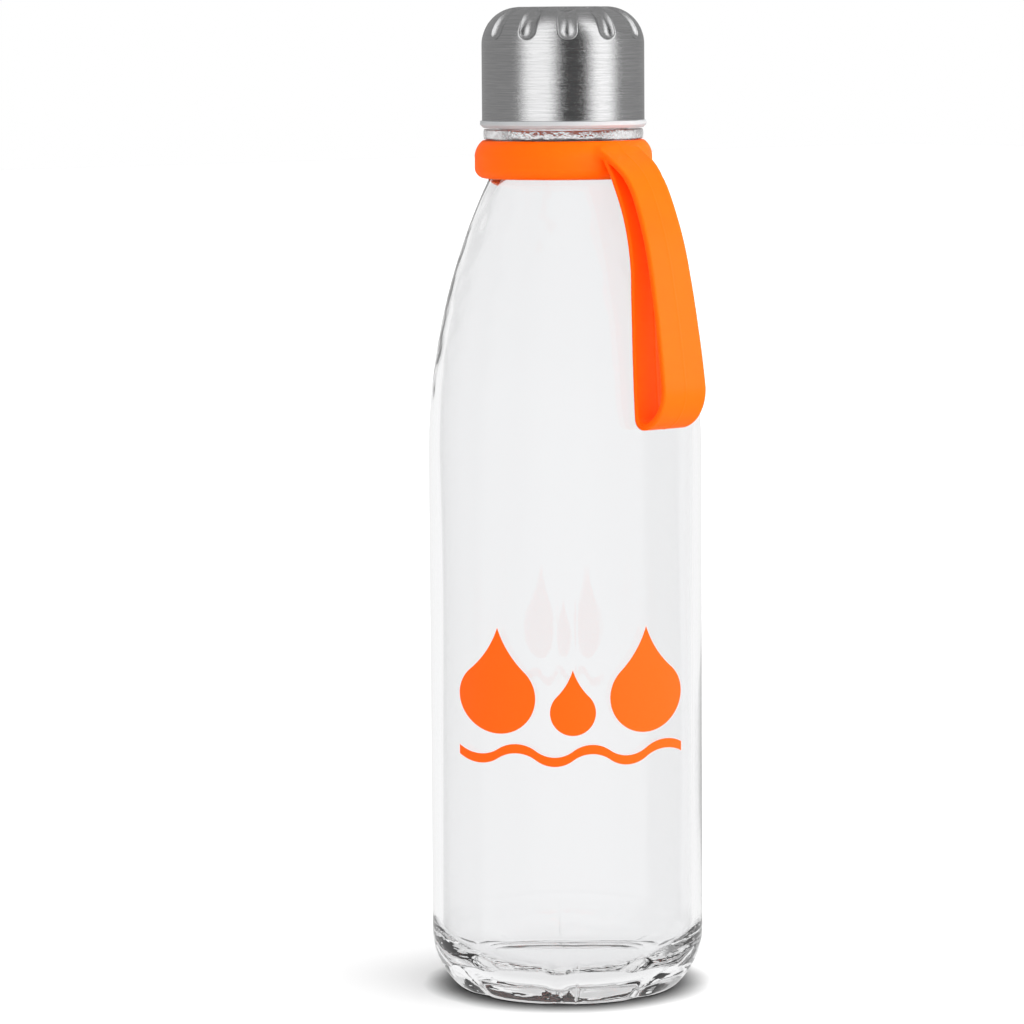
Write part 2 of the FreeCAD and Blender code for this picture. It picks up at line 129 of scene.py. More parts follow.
def revolve(rows, angles):
    """Points of a surface of revolution: an array (row, column, xyz)."""
    radius, height = rows[:, 0][:, None], rows[:, 1][:, None]
    return np.stack([
        radius * np.cos(angles)[None, :],
        radius * np.sin(angles)[None, :],
        np.broadcast_to(height, (len(rows), len(angles))),
    ], axis=2)


def make_object(name, points, faces):
    """A smooth-shaded mesh object from millimetre points."""
    mesh = bpy.data.meshes.new(name)
    mesh.from_pydata((np.asarray(points, float) * MM).tolist(), [], [list(f) for f in faces])
    mesh.polygons.foreach_set("use_smooth", [True] * len(mesh.polygons))
    mesh.validate()
    mesh.update()
    made = bpy.data.objects.new(name, mesh)
    bpy.context.scene.collection.objects.link(made)
    return made


def turned_object(name, grid):
    """A closed turned piece: grid's first and last rows meet the axis in one point."""
    rows, columns = grid.shape[:2]
    inner = grid[1:-1].reshape(-1, 3)
    first, last = grid[0].mean(axis=0), grid[-1].mean(axis=0)
    points = np.concatenate([inner, [first, last]])
    top, bottom = len(inner), len(inner) + 1
    i = np.arange(rows - 3)[:, None] * columns
    j = np.arange(columns)[None, :]
    k = (np.arange(columns) + 1)[None, :] % columns
    quads = np.stack([i + j, i + k, i + columns + k, i + columns + j], axis=2).reshape(-1, 4)
    ahead = (np.arange(columns) + 1) % columns
    end = (rows - 3) * columns
    cap_one = [(top, int(ahead[c]), c) for c in range(columns)]
    cap_two = [(bottom, end + c, end + int(ahead[c])) for c in range(columns)]
    return make_object(name, points, quads.tolist() + cap_one + cap_two)


def soft_push(depth, softness):
    """How far a point moves out of a cutter: its depth in it, eased in near the edge."""
    return 0.5 * (depth + np.sqrt(depth**2 + softness**2))


# ---------------------------------------------------------------- glass bottle

BODY_RADIUS = 35.75
WALL = 2.6
PUNT = 2.2
BEARING = 22.0
HEEL_CORNER = 4.0
HEEL_RADIUS = 19.4
HEEL_TOP = 15.0
SHOULDER_START = 140.0
SHOULDER_RADIUS = 171.0
NECK_RADIUS = 18.6
BEAD_BOTTOM = 222.9
BEAD_TOP = 225.6
BEAD_RADIUS = 20.65
BEAD_BULGE = 6.0
FINISH_RADIUS = 16.6
MOUTH_RADIUS = 14.2
MOUTH_TOP = 243.4
LIP_OUTER = 1.2
LIP_INNER = 1.0
FLOOR = 6.0
FLOOR_CORNER = 12.0
HOLLOW_COUNT = 8
HOLLOW_RADIUS = 8.8
HOLLOW_FOOT = np.array([27.5, 0.0])
HOLLOW_TIP = np.array([34.9, 7.6])
HOLLOW_RIM = 0.5
HOLLOW_ZONE = 20.0
SEAM_ANGLES = (math.radians(-35.8), math.radians(144.2))
SEAM_HALF_WIDTH = 0.26
SEAM_INNER = 23.0
SEAM_LEVELS = [0.0, 4.0, 10.0, 16.0, 222.0]
SEAM_HEIGHTS = [0.34, 0.36, 0.2, 0.02, 0.01]
SEAM_COLUMNS = np.radians([-0.9, -0.55, -0.3, -0.14, 0.0, 0.14, 0.3, 0.55, 0.9])
GLASS_COLUMNS = 240
WALL_ROWS = 1.6
HEEL_ROWS = 0.62
HEEL_ZONE = (17.0, 20.0)
FINISH_ROWS = 0.36
FINISH_ZONE = (221.0, 15.5)
THREAD_STARTS = 2
THREAD_LEAD = 8.0
THREAD_START = 229.6
THREAD_TURNS = 1.15
THREAD_FADE = 0.06
THREAD_HEIGHT = 1.3
THREAD_ROOT = 1.3
THREAD_FLANK = 0.75
THREAD_ZONE = (226.0, 241.5)
THREAD_ZONE_RADIUS = 18.0


def glass_outline():
    """The bottle's section from the punt's middle, up the outside and down the inside."""
    across, drop = HEEL_RADIUS - HEEL_CORNER, HEEL_TOP - HEEL_CORNER
    centre = BODY_RADIUS - HEEL_RADIUS
    reach = math.sqrt(across**2 - drop**2)
    scale = HEEL_RADIUS / across
    shoulder_centre = BODY_RADIUS - SHOULDER_RADIUS
    rise = math.sqrt(SHOULDER_RADIUS**2 - (NECK_RADIUS - shoulder_centre) ** 2)
    inner_shoulder = SHOULDER_RADIUS - WALL
    bore_rise = math.sqrt(inner_shoulder**2 - (MOUTH_RADIUS - shoulder_centre) ** 2)
    return outline([
        (0.0, PUNT),
        (BEARING, 0.0, (BEARING**2 + PUNT**2) / (2 * PUNT)),
        (centre + reach, 0.0),
        (centre + reach * scale, HEEL_TOP - drop * scale, -HEEL_CORNER),
        (BODY_RADIUS, HEEL_TOP, -HEEL_RADIUS),
        (BODY_RADIUS, SHOULDER_START),
        (NECK_RADIUS, SHOULDER_START + rise, -SHOULDER_RADIUS),
        (NECK_RADIUS, BEAD_BOTTOM),
        (BEAD_RADIUS, BEAD_BOTTOM),
        (BEAD_RADIUS, BEAD_TOP, -BEAD_BULGE),
        (FINISH_RADIUS, BEAD_TOP),
        (FINISH_RADIUS, MOUTH_TOP - LIP_OUTER),
        (FINISH_RADIUS - LIP_OUTER, MOUTH_TOP, -LIP_OUTER),
        (MOUTH_RADIUS + LIP_INNER, MOUTH_TOP),
        (MOUTH_RADIUS, MOUTH_TOP - LIP_INNER, -LIP_INNER),
        (MOUTH_RADIUS, SHOULDER_START + bore_rise),
        (BODY_RADIUS - WALL, SHOULDER_START, inner_shoulder),
        (BODY_RADIUS - WALL, FLOOR + FLOOR_CORNER),
        (BODY_RADIUS - WALL - FLOOR_CORNER, FLOOR, FLOOR_CORNER),
        (0.0, FLOOR),
    ])


def glass_angles():
    """Columns round the bottle, with more of them at the two mould seams."""
    angles = list(np.linspace(0, TURN, GLASS_COLUMNS, endpoint=False))
    for seam in SEAM_ANGLES:
        centre = seam % TURN
        angles = [a for a in angles if abs((a - centre + math.pi) % TURN - math.pi) > 0.02]
        angles += list(centre + SEAM_COLUMNS)
    return np.sort(np.array(angles) % TURN)


def carve_hollows(points, outside):
    """Presses the eight sloping hollows into the heel."""
    run = HOLLOW_TIP - HOLLOW_FOOT
    run /= np.hypot(*run)
    foot = HOLLOW_FOOT + HOLLOW_RADIUS * np.array([run[1], -run[0]])
    for index in range(HOLLOW_COUNT):
        angle = TURN * index / HOLLOW_COUNT
        out = points @ np.array([math.cos(angle), math.sin(angle), 0.0])
        side = points @ np.array([-math.sin(angle), math.cos(angle), 0.0])
        flat = np.stack([out, points[..., 2]], axis=-1) - foot
        along = flat @ run
        away = flat - along[..., None] * run
        vector = np.concatenate([away, side[..., None]], axis=-1)
        distance = np.maximum(np.linalg.norm(vector, axis=-1), 1e-6)
        push = soft_push(HOLLOW_RADIUS - distance, HOLLOW_RIM) / distance
        push = np.where(outside & (out > 0) & (points[..., 2] < HOLLOW_ZONE), push, 0.0)
        moved = vector * push[..., None]
        points[..., 0] += moved[..., 0] * math.cos(angle) - moved[..., 2] * math.sin(angle)
        points[..., 1] += moved[..., 0] * math.sin(angle) + moved[..., 2] * math.cos(angle)
        points[..., 2] += moved[..., 1]


def raise_seams(points, outside):
    """The mould's two parting lines stand out a little, most of all round the heel."""
    angle = np.arctan2(points[..., 1], points[..., 0])
    radius = np.hypot(points[..., 0], points[..., 1])
    height = np.interp(points[..., 2], SEAM_LEVELS, SEAM_HEIGHTS)
    height = height * np.clip((radius - SEAM_INNER) / 3.0, 0, 1)
    for seam in SEAM_ANGLES:
        off = np.abs((angle - seam + math.pi) % TURN - math.pi) * radius
        ridge = np.where(outside, height * np.exp(-((off / SEAM_HALF_WIDTH) ** 2)), 0.0)
        points[..., 0] += ridge * np.cos(angle)
        points[..., 1] += ridge * np.sin(angle)


def wind_thread(points, outside):
    """Two starts of screw thread on the finish, with ends that fade out."""
    angle = np.arctan2(points[..., 1], points[..., 0]) % TURN
    radius = np.hypot(points[..., 0], points[..., 1])
    height = points[..., 2]
    low, high = THREAD_ZONE
    zone = outside & (radius < THREAD_ZONE_RADIUS) & (height > low) & (height < high)
    lift = np.zeros_like(radius)
    for start in range(THREAD_STARTS):
        turns = ((angle - TURN / THREAD_STARTS * start) % TURN) / TURN
        for whole in range(math.ceil(THREAD_TURNS)):
            run = turns + whole
            side = np.abs(height - (THREAD_START + THREAD_LEAD * run))
            ridge = np.clip((THREAD_ROOT - side) / THREAD_FLANK, 0, 1)
            ridge = ridge * ridge * (3 - 2 * ridge)
            ends = np.clip(run / THREAD_FADE, 0, 1)
            ends = ends * np.clip((THREAD_TURNS - run) / THREAD_FADE, 0, 1)
            lift = np.maximum(lift, THREAD_HEIGHT * ridge * ends)
    lift = np.where(zone, lift, 0.0)
    points[..., 0] += lift * np.cos(angle)
    points[..., 1] += lift * np.sin(angle)


def ripple(angle, height, waves):
    """A smooth uneven field from a few fixed waves: (share, turns, rise, phase)."""
    total = np.zeros(np.broadcast(angle, height).shape)
    for share, turns, rise, phase in waves:
        total += share * np.sin(turns * angle + rise * height + phase)
    return total


INSIDE_WAVES = [
    (0.10, 2, 0.021, 0.4), (0.08, 3, -0.034, 1.9), (0.05, 5, 0.013, 2.7),
    (0.035, 7, 0.052, 0.9), (0.022, 11, -0.018, 4.1), (0.014, 17, 0.031, 5.2),
]
SHOULDER_WAVES = [
    (0.055, 3, 0.21, 0.7), (0.04, 7, -0.33, 2.0), (0.03, 12, 0.46, 4.4), (0.018, 19, -0.71, 1.3),
]
OUTSIDE_WAVES = [
    (0.012, 3, 0.045, 1.1), (0.009, 5, -0.061, 0.3), (0.006, 8, 0.083, 2.2),
]
OUTSIDE_SINK = 0.03
WAVY_MIDDLE = 190.0
WAVY_SPREAD = 30.0
UNEVEN_TOP = 226.0
UNEVEN_FADE = 12.0


def uneven_walls(points, outside):
    """Blown glass varies a little in thickness, mostly inside and on the shoulder.

    The waves fade out near the axis and at the finish, and the outside sinks by more than
    they rise, so that it stays inside the CAD's bottle.
    """
    angle = np.arctan2(points[..., 1], points[..., 0])
    height = points[..., 2]
    radius = np.hypot(points[..., 0], points[..., 1])
    fade = np.clip(radius / UNEVEN_FADE - 0.4, 0, 1)
    fade = fade * np.clip((UNEVEN_TOP - height) / UNEVEN_FADE, 0, 1)
    shoulder = np.exp(-(((height - WAVY_MIDDLE) / WAVY_SPREAD) ** 2))
    inner = ripple(angle, height, INSIDE_WAVES) * (0.7 + 1.1 * shoulder)
    inner += ripple(angle, height, SHOULDER_WAVES) * shoulder
    outer = ripple(angle, height, OUTSIDE_WAVES) - OUTSIDE_SINK
    shift = np.where(outside, outer * np.clip((height - 16) / 10, 0, 1), inner) * fade
    points[..., 0] += shift * np.cos(angle)
    points[..., 1] += shift * np.sin(angle)


def glass_spacing(radius, height):
    """Rows are close on the heel, the bead and the thread, and wide elsewhere."""
    heel = (height < HEEL_ZONE[0]) & (radius > HEEL_ZONE[1])
    finish = (height > FINISH_ZONE[0]) & (radius > FINISH_ZONE[1])
    return np.where(finish, FINISH_ROWS, np.where(heel, HEEL_ROWS, WALL_ROWS))


def build_glass():
    """The glass: a turned wall, made uneven, then pressed, seamed and threaded."""
    section = smooth_line(glass_outline(), 0.22)
    turnover = int(np.argmax(section[:, 1] - 0.001 * section[:, 0]))
    outside_rows = choose_rows(section[:turnover + 1], glass_spacing)
    inside_rows = choose_rows(section[turnover:], glass_spacing)
    rows = np.concatenate([outside_rows, inside_rows[1:]])
    points = revolve(rows, glass_angles())
    outside = np.arange(len(rows)) < len(outside_rows)
    outside = np.broadcast_to(outside[:, None], points.shape[:2])
    uneven_walls(points, outside)
    carve_hollows(points, outside)
    raise_seams(points, outside)
    wind_thread(points, outside)
    points[..., 2] = np.maximum(points[..., 2], 0.0)
    return turned_object("bottle_glass", points)


# ---------------------------------------------------------------- steel cap

CAP_RADIUS = 21.1
CAP_WALL = 0.7
CAP_BOTTOM = 227.7
CAP_TOP = 257.0
CAP_DOME = 9.6
CAP_DOME_WALL = 1.8
CAP_DOME_STEP = 1.2
FLUTE_COUNT = 12
FLUTE_ANGLE = math.radians(-6.4)
FLUTE_ROUND = 3.2
FLUTE_DEPTH = 1.25
FLUTE_LOW = math.radians(20.5)
FLUTE_HIGH = math.radians(84.0)
FLUTE_RIM = 0.1
FLUTE_ZONE = 0.8
CAP_COLUMNS = 480
DOME_ROWS = 0.24
DOME_ZONE = 246.0
SIDE_ROWS = 1.6
CROWN_ROWS = 1.5
CROWN_ZONE = 9.0
INSIDE_ROWS = 2.0


def press_flutes(points, outside):
    """Presses the twelve flutes into the dome: round bars bent round the dome's centre."""
    centre = np.array([CAP_RADIUS - CAP_DOME, CAP_TOP - CAP_DOME])
    bend = CAP_DOME + FLUTE_ROUND - FLUTE_DEPTH
    for index in range(FLUTE_COUNT):
        angle = FLUTE_ANGLE + TURN * index / FLUTE_COUNT
        cos, sin = math.cos(angle), math.sin(angle)
        out = points[..., 0] * cos + points[..., 1] * sin
        side = points[..., 1] * cos - points[..., 0] * sin
        flat = np.stack([out, points[..., 2]], axis=-1) - centre
        along = np.clip(np.arctan2(flat[..., 1], flat[..., 0]), FLUTE_LOW, FLUTE_HIGH)
        away = flat - bend * np.stack([np.cos(along), np.sin(along)], axis=-1)
        vector = np.concatenate([away, side[..., None]], axis=-1)
        distance = np.maximum(np.linalg.norm(vector, axis=-1), 1e-6)
        push = soft_push(FLUTE_ROUND - distance, FLUTE_RIM) / distance
        here = outside & (out > 0) & (distance < FLUTE_ROUND + FLUTE_ZONE)
        push = np.where(here, push, 0.0)
        moved = vector * push[..., None]
        points[..., 0] += moved[..., 0] * cos - moved[..., 2] * sin
        points[..., 1] += moved[..., 0] * sin + moved[..., 2] * cos
        points[..., 2] += moved[..., 1]


def cap_spacing(radius, height):
    """Rows are close where the flutes run, and wide on the side and the crown."""
    gap = np.where(height > DOME_ZONE, DOME_ROWS, SIDE_ROWS)
    return np.where(radius < CROWN_ZONE, CROWN_ROWS, gap)


def build_cap():
    """The steel shell: a thin turned cup with its flutes pressed into the dome."""
    inner = CAP_RADIUS - CAP_WALL
    section = smooth_line(outline([
        (0.0, CAP_TOP),
        (CAP_RADIUS - CAP_DOME, CAP_TOP),
        (CAP_RADIUS, CAP_TOP - CAP_DOME, CAP_DOME),
        (CAP_RADIUS, CAP_BOTTOM),
        (inner, CAP_BOTTOM),
        (inner, CAP_TOP - CAP_DOME - CAP_DOME_STEP),
        (CAP_RADIUS - CAP_DOME_WALL, CAP_TOP - CAP_DOME),
        (CAP_RADIUS - CAP_DOME, CAP_TOP - CAP_DOME_WALL, CAP_DOME_WALL - CAP_DOME),
        (0.0, CAP_TOP - CAP_DOME_WALL),
    ], 0.05), 0.12, 0.05)
    lowest = int(np.argmin(section[:, 1]))
    outer_rows = choose_rows(section[:lowest + 1], cap_spacing, 5.0, 0.08)
    inner_rows = choose_rows(section[lowest:], lambda r, z: np.full(r.shape, INSIDE_ROWS), 9.0, 0.1)
    rows = np.concatenate([outer_rows, inner_rows[1:]])
    points = revolve(rows, FLUTE_ANGLE + np.linspace(0, TURN, CAP_COLUMNS, endpoint=False))
    outside = np.arange(len(rows)) < len(outer_rows)
    outside = np.broadcast_to(outside[:, None], points.shape[:2])
    press_flutes(points, outside)
    return turned_object("cap_steel", points[::-1])


# ---------------------------------------------------------------- silicone ring and loop

RING_BORE = 18.75
RING_SECTION = [
    (20.15, 212.8),
    (20.5, 212.8),
    (23.1, 215.4, -2.8),
    (23.1, 218.6),
    (20.9, 222.7, -5.5),
    (RING_BORE, 222.7),
    (RING_BORE, 215.8),
    (20.15, 212.8),
]
BAND_THICKNESS = (1.65, 1.35)
BAND_THINNING = np.array([0.5, 0.6])
BAND_ROUND = 0.5
FOLD_CENTRE = np.array([38.8, 152.81])
FOLD_RADIUS = 2.3
FOLD_SWEEP = 9.8
FOLD_TILT = math.radians(13.5)
OUTER_LEG = [(25.9, 217.9), (34.8, 208.7), (41.3, 190.9)]
INNER_LEG = [(34.4, 187.6), (28.6, 209.0), (25.9, 214.5)]
OUTER_LEAN = math.radians(7.7)
INNER_LEAN = math.radians(4.2)
BAND_LEVELS = [160.0, 209.6, 213.6, 217.6]
BAND_HALF_WIDTHS = [7.1, 6.0, 6.1, 6.9]
OUTER_END = 4.0
INNER_END = 3.6
BAND_ZONE = 18.0
ROOT_FILLET = 2.4
PARTING_HEIGHT = 0.08
PARTING_HALF_WIDTH = 0.24
PARTING_START = 19.5
FAR_AWAY = 30.0

# The grids, as (from, to, step): the surface's along x, from the middle outwards along y,
# and along z, and the reach of the table of distances to the ring's section.
GRID_X = [(-24.2, 20.0, 0.44), (20.0, 49.6, 0.3)]
GRID_Y_MIDDLE = [0.07, 0.21, 0.37, 0.58]
GRID_Y = [(0.85, 9.0, 0.31), (9.2, 24.6, 0.44)]
GRID_Z = (147.6, 223.4, 0.33)
TABLE_STEP = 0.08
TABLE_RADII = (17.0, 34.6, TABLE_STEP)
TABLE_HEIGHTS = (205.0, 224.0, TABLE_STEP)


def leg_line(points, heading):
    """Arcs through the points, each tangent to the one before.

    Gives dense points along them and the last arc's heading at its end.
    """
    line = [np.array(points[0], float)]
    for last in points[1:]:
        first, last = line[-1], np.array(last, float)
        chord = last - first
        length = np.hypot(*chord)
        side = np.array([-heading[1], heading[0]])
        radius = length**2 / (2 * chord @ side)
        line += list(outline([first, (*last, -radius)])[1:])
        heading = chord * (2 * (heading @ chord) / length**2) - heading
    return line, heading


def band_line():
    """The band's centre line, from inside the ring, round the fold and back in."""
    up_outer = np.array([-math.sin(OUTER_LEAN), math.cos(OUTER_LEAN)])
    up_inner = np.array([-math.sin(INNER_LEAN), math.cos(INNER_LEAN)])
    down = np.array([math.sin(FOLD_TILT), -math.cos(FOLD_TILT)])
    bottom = FOLD_CENTRE + down * FOLD_RADIUS
    start = bottom - down * FOLD_SWEEP + FOLD_SWEEP * np.array([up_outer[1], -up_outer[0]])
    stop = FOLD_CENTRE - FOLD_RADIUS * np.array([up_inner[1], -up_inner[0]])
    outer, outer_end = leg_line([start] + OUTER_LEG[::-1], up_outer)
    inner, inner_end = leg_line([stop] + INNER_LEG, up_inner)
    fold = outline([start, (*bottom, FOLD_SWEEP), (*stop, FOLD_RADIUS)])
    head = outer[-1] + outer_end * OUTER_END
    tail = inner[-1] + inner_end * INNER_END
    return np.concatenate([[head], outer[::-1], fold[1:-1], inner, [tail]])


def polygon_distance(points, line, closed):
    """Distances from points to a line, and the nearest places along it, in segments.

    Inside a closed line the distances are negative.
    """
    a, b = line[:-1], line[1:]
    best = np.full(len(points), np.inf)
    place = np.zeros(len(points))
    inside = np.zeros(len(points), bool)
    for i in range(len(b)):
        run = b[i] - a[i]
        length = run @ run
        if length < 1e-12:
            continue
        offset = points - a[i]
        t = np.clip(offset @ run / length, 0, 1)
        gap = offset - t[:, None] * run
        square = (gap**2).sum(axis=1)
        near = square < best
        best = np.where(near, square, best)
        place = np.where(near, i + t, place)
        crosses = (a[i, 1] > points[:, 1]) != (b[i, 1] > points[:, 1])
        slope = np.where(crosses, (points[:, 1] - a[i, 1]) / (run[1] if run[1] else 1e-9), 0)
        inside ^= crosses & (points[:, 0] < a[i, 0] + slope * run[0])
    distance = np.sqrt(best)
    return (np.where(inside, -distance, distance) if closed else distance), place


def smooth_union(one, other, reach):
    """The union of two distance fields with a fillet of about that reach."""
    share = np.clip(0.5 + 0.5 * (other - one) / reach, 0, 1)
    return other * (1 - share) + one * share - reach * share * (1 - share)


def silicone_field():
    """Distances to the ring and loop's surface on an uneven grid."""
    xs = np.concatenate([np.arange(*run) for run in GRID_X])
    half = np.concatenate([GRID_Y_MIDDLE] + [np.arange(*run) for run in GRID_Y])
    ys = np.concatenate([-half[::-1], half])
    zs = np.arange(*GRID_Z)

    # the ring, from its section in (distance from the axis, height)
    section = smooth_line(outline(RING_SECTION, 0.05), 0.14, 0.05, mirror=False)
    radii, heights = np.arange(*TABLE_RADII), np.arange(*TABLE_HEIGHTS)
    grid = np.stack(np.meshgrid(radii, heights, indexing="ij"), axis=-1).reshape(-1, 2)
    table, _ = polygon_distance(grid, section[::4], True)
    table = table.reshape(len(radii), len(heights))
    far = np.hypot(xs[:, None], ys[None, :])
    u = np.clip((far - radii[0]) / TABLE_STEP, 0, len(radii) - 1.001)
    v = np.clip((zs - heights[0]) / TABLE_STEP, 0, len(heights) - 1.001)
    i, j = u.astype(int), v.astype(int)
    fu, fv = (u - i)[..., None], (v - j)[None, None, :]
    low, high = table[i][..., j], table[i + 1][..., j]
    low_up, high_up = table[i][..., j + 1], table[i + 1][..., j + 1]
    ring = (low * (1 - fu) + high * fu) * (1 - fv) + (low_up * (1 - fu) + high_up * fu) * fv
    beyond = np.maximum(far - radii[-1], 0)[..., None] + np.maximum(heights[0] - zs, 0)[None, None, :]
    inward = np.maximum(radii[0] - far, 0)[..., None]
    ring = ring + beyond + inward

    # the band, from the distance to its centre line in its own plane
    line = band_line()
    flat = np.stack(np.meshgrid(xs, zs, indexing="ij"), axis=-1).reshape(-1, 2)
    near = flat[:, 0] > BAND_ZONE
    gap = np.full(len(flat), FAR_AWAY)
    gap[near], spot = polygon_distance(flat[near], line[::2], False)
    fold = len(line[::2]) * BAND_THINNING
    gap[near] -= np.interp(spot, fold, BAND_THICKNESS) / 2
    gap = gap.reshape(len(xs), 1, len(zs))
    half_width = np.interp(zs, BAND_LEVELS, BAND_HALF_WIDTHS)[None, None, :]
    across = np.abs(ys)[None, :, None] - half_width + BAND_ROUND
    through = gap + BAND_ROUND
    outer = np.sqrt(np.maximum(across, 0) ** 2 + np.maximum(through, 0) ** 2)
    band = outer + np.minimum(np.maximum(across, through), 0) - BAND_ROUND

    field = smooth_union(ring, band, ROOT_FILLET)
    # keep the ring's bore clear of the fillet
    bore = (RING_BORE - far)[..., None]
    field = np.maximum(field, bore)
    seam = PARTING_HEIGHT * np.exp(-((ys / PARTING_HALF_WIDTH) ** 2))[None, :, None]
    return xs, ys, zs, field - np.where(xs[:, None, None] > PARTING_START, seam, 0.0)


def net_surface(xs, ys, zs, field):
    """Points and quads round the field's zero level, one point in each crossed cell."""
    inside = field < 0
    shape = tuple(n - 1 for n in field.shape)
    total = np.zeros(shape, np.int8)
    corners = [(a, b, c) for a in (0, 1) for b in (0, 1) for c in (0, 1)]
    for a, b, c in corners:
        total += inside[a:a + shape[0], b:b + shape[1], c:c + shape[2]]
    cells = np.argwhere((total > 0) & (total < 8))
    number = np.full(shape, -1, np.int64)
    number[tuple(cells.T)] = np.arange(len(cells))
    grids = (xs, ys, zs)
    places, hits = np.zeros((len(cells), 3)), np.zeros(len(cells))
    for axis in range(3):
        for a, b in ((0, 0), (0, 1), (1, 0), (1, 1)):
            first = np.insert(np.array([a, b]), axis, 0)
            last = np.insert(np.array([a, b]), axis, 1)
            p, q = cells + first, cells + last
            fp, fq = field[tuple(p.T)], field[tuple(q.T)]
            crossed = (fp < 0) != (fq < 0)
            t = np.where(crossed, fp / np.where(crossed, fp - fq, 1), 0)
            for k in range(3):
                near, far = grids[k][p[:, k]], grids[k][q[:, k]]
                places[:, k] += np.where(crossed, near + t * (far - near), 0)
            hits += crossed
    points = places / hits[:, None]
    quads = []
    for axis in range(3):
        one, two = [k for k in range(3) if k != axis]
        near = [slice(None)] * 3
        far = [slice(None)] * 3
        near[axis], far[axis] = slice(0, -1), slice(1, None)
        for k in (one, two):
            near[k] = far[k] = slice(1, -1)
        a, b = inside[tuple(near)], inside[tuple(far)]
        edges = np.argwhere(a != b)
        leaving = a[tuple(edges.T)]
        base = edges.copy()
        base[:, one] += 1
        base[:, two] += 1
        ring = []
        for di, dj in ((1, 1), (0, 1), (0, 0), (1, 0)):
            cell = base.copy()
            cell[:, one] -= di
            cell[:, two] -= dj
            ring.append(number[tuple(cell.T)])
        ring = np.stack(ring, axis=1)
        flip = leaving if axis == 1 else ~leaving
        ring[flip] = ring[flip][:, ::-1]
        quads.append(ring)
    return points, np.concatenate(quads)


def build_silicone():
    """The ring and the loop as one moulding."""
    points, quads = net_surface(*silicone_field())
    return make_object("silicone_ring_and_loop", points, quads.tolist())


# ---------------------------------------------------------------- materials


def material_tree(name):
    material = bpy.data.materials.new(name)
    material.use_nodes = True
    tree = material.node_tree
    return material, tree, tree.nodes["Principled BSDF"]


def add(tree, kind, links=None, **settings):
    """A node with its settings, and its inputs set to a number, colour or socket."""
    made = tree.nodes.new(kind)
    for key, value in settings.items():
        setattr(made, key, value)
    for key, value in (links or {}).items():
        if isinstance(value, bpy.types.NodeSocket):
            tree.links.new(value, made.inputs[key])
        else:
            made.inputs[key].default_value = value
    return made


def sums(tree, operation, one, other=0.0):
    return add(tree, "ShaderNodeMath", {0: one, 1: other}, operation=operation).outputs[0]


def noise(tree, vector, scale, detail=2.0, roughness=0.5):
    made = add(tree, "ShaderNodeTexNoise", {
        "Vector": vector, "Scale": scale, "Detail": detail, "Roughness": roughness,
    })
    return made.outputs["Fac"]


def ranged(tree, value, low, high, out_low, out_high):
    made = add(tree, "ShaderNodeMapRange", {
        "Value": value, "From Min": low, "From Max": high, "To Min": out_low, "To Max": out_high,
    })
    return made.outputs["Result"]


def colour_mix(tree, factor, one, other):
    """A mix of two colours; a colour Mix node has them in its sockets 6 and 7."""
    links = {0: factor, 6: (*one, 1), 7: (*other, 1)}
    return add(tree, "ShaderNodeMix", links, data_type="RGBA").outputs[2]


def paint(tree, shader, factor, one, other, rough_by, rough):
    """The base colour runs from one to the other, and the roughness over its range."""
    tree.links.new(colour_mix(tree, factor, one, other), shader.inputs["Base Color"])
    roughness = ranged(tree, rough_by, 0.3, 0.7, *rough)
    tree.links.new(roughness, shader.inputs["Roughness"])


def bump(tree, height, distance, normal=None):
    links = {"Height": height, "Distance": distance, "Strength": 1.0}
    if normal is not None:
        links["Normal"] = normal
    return add(tree, "ShaderNodeBump", links).outputs["Normal"]


def place(tree):
    return add(tree, "ShaderNodeTexCoord").outputs["Object"]


def scaled(tree, vector, x, y, z):
    made = add(tree, "ShaderNodeMapping", {"Vector": vector, "Scale": (x, y, z)})
    return made.outputs["Vector"]


def round_place(tree, per_turn, per_metre):
    """Coordinates (out, up, round) that make a noise run round the bottle's axis."""
    parts = add(tree, "ShaderNodeSeparateXYZ", {"Vector": place(tree)})
    x, y, z = (parts.outputs[k] for k in ("X", "Y", "Z"))
    square = sums(tree, "ADD", sums(tree, "MULTIPLY", x, x), sums(tree, "MULTIPLY", y, y))
    out = sums(tree, "POWER", square, 0.5)
    angle = sums(tree, "ARCTAN2", y, x)
    joined = add(tree, "ShaderNodeCombineXYZ", {
        "X": sums(tree, "MULTIPLY", out, per_metre),
        "Y": sums(tree, "MULTIPLY", z, per_metre),
        "Z": sums(tree, "MULTIPLY", angle, per_turn),
    })
    return joined.outputs["Vector"]


def set_shader(shader, **values):
    for key, value in values.items():
        shader.inputs[key.replace("_", " ")].default_value = value


def glass_material():
    """Clear glass, wavy on the shoulder, wrinkled in the base and grained on the bead."""
    material, tree, shader = material_tree("clear_glass")
    set_shader(shader, Base_Color=(0.945, 0.947, 0.952, 1), Roughness=0.0, IOR=1.5,
               Transmission_Weight=1.0)
    spot = place(tree)
    height = add(tree, "ShaderNodeSeparateXYZ", {"Vector": spot}).outputs["Z"]
    streaks = noise(tree, scaled(tree, spot, 90, 90, 14), 1.0, 2.0)
    normal = bump(tree, streaks, 0.00003)
    base = ranged(tree, height, 0.010, 0.020, 1.0, 0.0)
    wrinkles = noise(tree, scaled(tree, spot, 110, 110, 300), 1.0, 2.0)
    normal = bump(tree, sums(tree, "MULTIPLY", wrinkles, base), 0.00010, normal=normal)
    bead = ranged(tree, height, 0.2222, 0.2228, 0.0, 1.0)
    grain = noise(tree, spot, 1100.0, 2.0)
    normal = bump(tree, sums(tree, "MULTIPLY", grain, bead), 0.00016, normal=normal)
    tree.links.new(normal, shader.inputs["Normal"])
    return material


